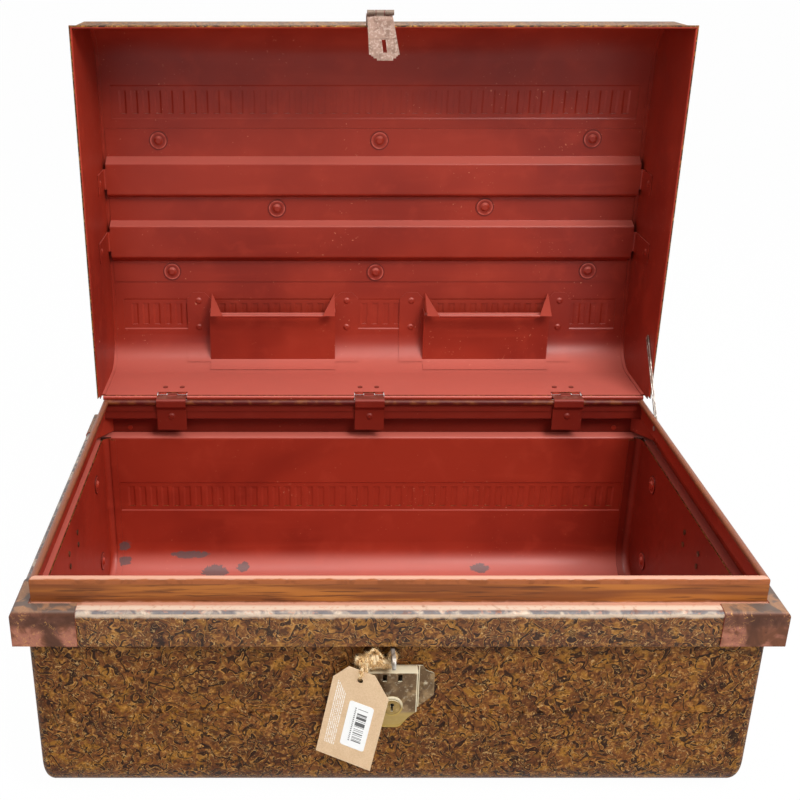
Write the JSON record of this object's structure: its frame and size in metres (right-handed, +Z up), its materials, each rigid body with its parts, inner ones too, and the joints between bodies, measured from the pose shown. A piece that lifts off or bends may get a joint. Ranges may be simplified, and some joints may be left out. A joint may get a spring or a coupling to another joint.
{
  "type": "trunk",
  "caption": "Dome top tin trunk with fluted bands, wired rim, corner caps, hinged lid with stiffener and pockets, hasp, lock and handles, standing open",
  "frame": {"origin": "middle of the footprint, on the floor", "axes": "+X to the right along the front, +Y to the back, +Z up; stored with the lid open at a right angle"},
  "size_m": [0.7378, 0.6193, 0.731],
  "materials": {
    "painted_brown": "hand-painted brown scumble over tinplate, worn",
    "bright_steel": "dull tinned steel with age",
    "wire": "plain drawn wire",
    "worn_copper": "worn pinkish paint on pressed steel",
    "painted_red": "oxblood paint inside, worn",
    "old_brass": "dull lacquered brass",
    "kraft": "kraft card",
    "label": "white label",
    "twine": "jute twine"
  },
  "bodies": {
    "trunk_body": {"body_wrap": "painted_brown", "body_end_left": "painted_brown", "body_end_right": "painted_brown", "end_wall_washers": "bright_steel", "end_wall_rivets": "bright_steel", "rim_front": "painted_brown", "rim_back": "painted_brown", "rim_left": "painted_brown", "rim_right": "painted_brown", "rim_wire": "wire", "corner_cap_fl": "worn_copper", "corner_cap_fr": "worn_copper", "corner_cap_bl": "worn_copper", "corner_cap_br": "worn_copper", "corner_gussets": "painted_red", "corner_rivets": "worn_copper", "hinge_strap_left": "bright_steel", "hinge_strap_middle": "bright_steel", "hinge_strap_right": "bright_steel", "hinge_pins": "bright_steel", "hinge_rivets_body": "bright_steel", "staple": "bright_steel", "lock_plate": "old_brass", "lock_case": "old_brass", "lock_rivets": "old_brass", "handle_plate_left": "bright_steel", "handle_plate_right": "bright_steel", "handle_rivets": "bright_steel", "stay_stud_body": "bright_steel", "tag": "kraft", "tag_label": "label", "twine": "twine", "twine_knot": "twine"},
    "lid": {"lid_wrap": "painted_brown", "lid_end_left": "painted_brown", "lid_end_right": "painted_brown", "lid_rim_wire": "wire", "lid_stiffener": "painted_red", "stiffener_washers": "bright_steel", "stiffener_rivets": "bright_steel", "tab_rivets": "worn_copper", "hasp_pin": "bright_steel", "pocket_left": "painted_red", "pocket_right": "painted_red", "pocket_rivets": "worn_copper", "hinge_leaf_left": "bright_steel", "hinge_leaf_middle": "bright_steel", "hinge_leaf_right": "bright_steel", "hinge_rivets_lid": "bright_steel", "hasp_plate": "worn_copper", "hasp_rivets": "worn_copper", "stay_stud_lid": "bright_steel"},
    "hasp": {"hasp_leaf": "worn_copper"},
    "stay": {"stay_arm": "bright_steel"},
    "handle_left": {"handle_bail_left": "bright_steel"},
    "handle_right": {"handle_bail_right": "bright_steel"},
    "plug": {"lock_plug": "old_brass"},
    "bolt": {"lock_bolt": "bright_steel"}
  },
  "joints": [
    {"name": "lid_hinge", "type": "hinge", "parent": "trunk_body", "child": "lid", "pos_m": [0, 0.234, 0.2515], "axis": [1, 0, 0], "range_deg": [0, 90]},
    {"name": "hasp_turn", "type": "hinge", "parent": "lid", "child": "hasp", "pos_m": [-0.005, 0.1975, 0.728], "axis": [1, 0, 0], "range_deg": [-115, 0]},
    {"name": "stay_turn", "type": "hinge", "parent": "trunk_body", "child": "stay", "pos_m": [0.3508, 0.15836, 0.24006], "axis": [1, 0, 0], "range_deg": [0, 45]},
    {"name": "handle_left_turn", "type": "hinge", "parent": "trunk_body", "child": "handle_left", "pos_m": [-0.3619, 0, 0.165], "axis": [0, 1, 0], "range_deg": [0, 90]},
    {"name": "handle_right_turn", "type": "hinge", "parent": "trunk_body", "child": "handle_right", "pos_m": [0.3619, 0, 0.165], "axis": [0, -1, 0], "range_deg": [0, 90]},
    {"name": "plug_turn", "type": "hinge", "parent": "trunk_body", "child": "plug", "pos_m": [-0.005, -0.24, 0.1235], "axis": [0, 1, 0], "range_deg": [0, 90]},
    {"name": "bolt_slide", "type": "slide", "parent": "trunk_body", "child": "bolt", "axis": [1, 0, 0], "range_m": [0, 0.006]}
  ],
  "couplings": [
    {"joint": "hasp_turn", "follows": "lid_hinge", "ratio": -1.2778},
    {"joint": "stay_turn", "follows": "lid_hinge", "ratio": 0.5},
    {"joint": "bolt_slide", "follows": "plug_turn", "m_per_rad": 0.0038193}
  ]
}
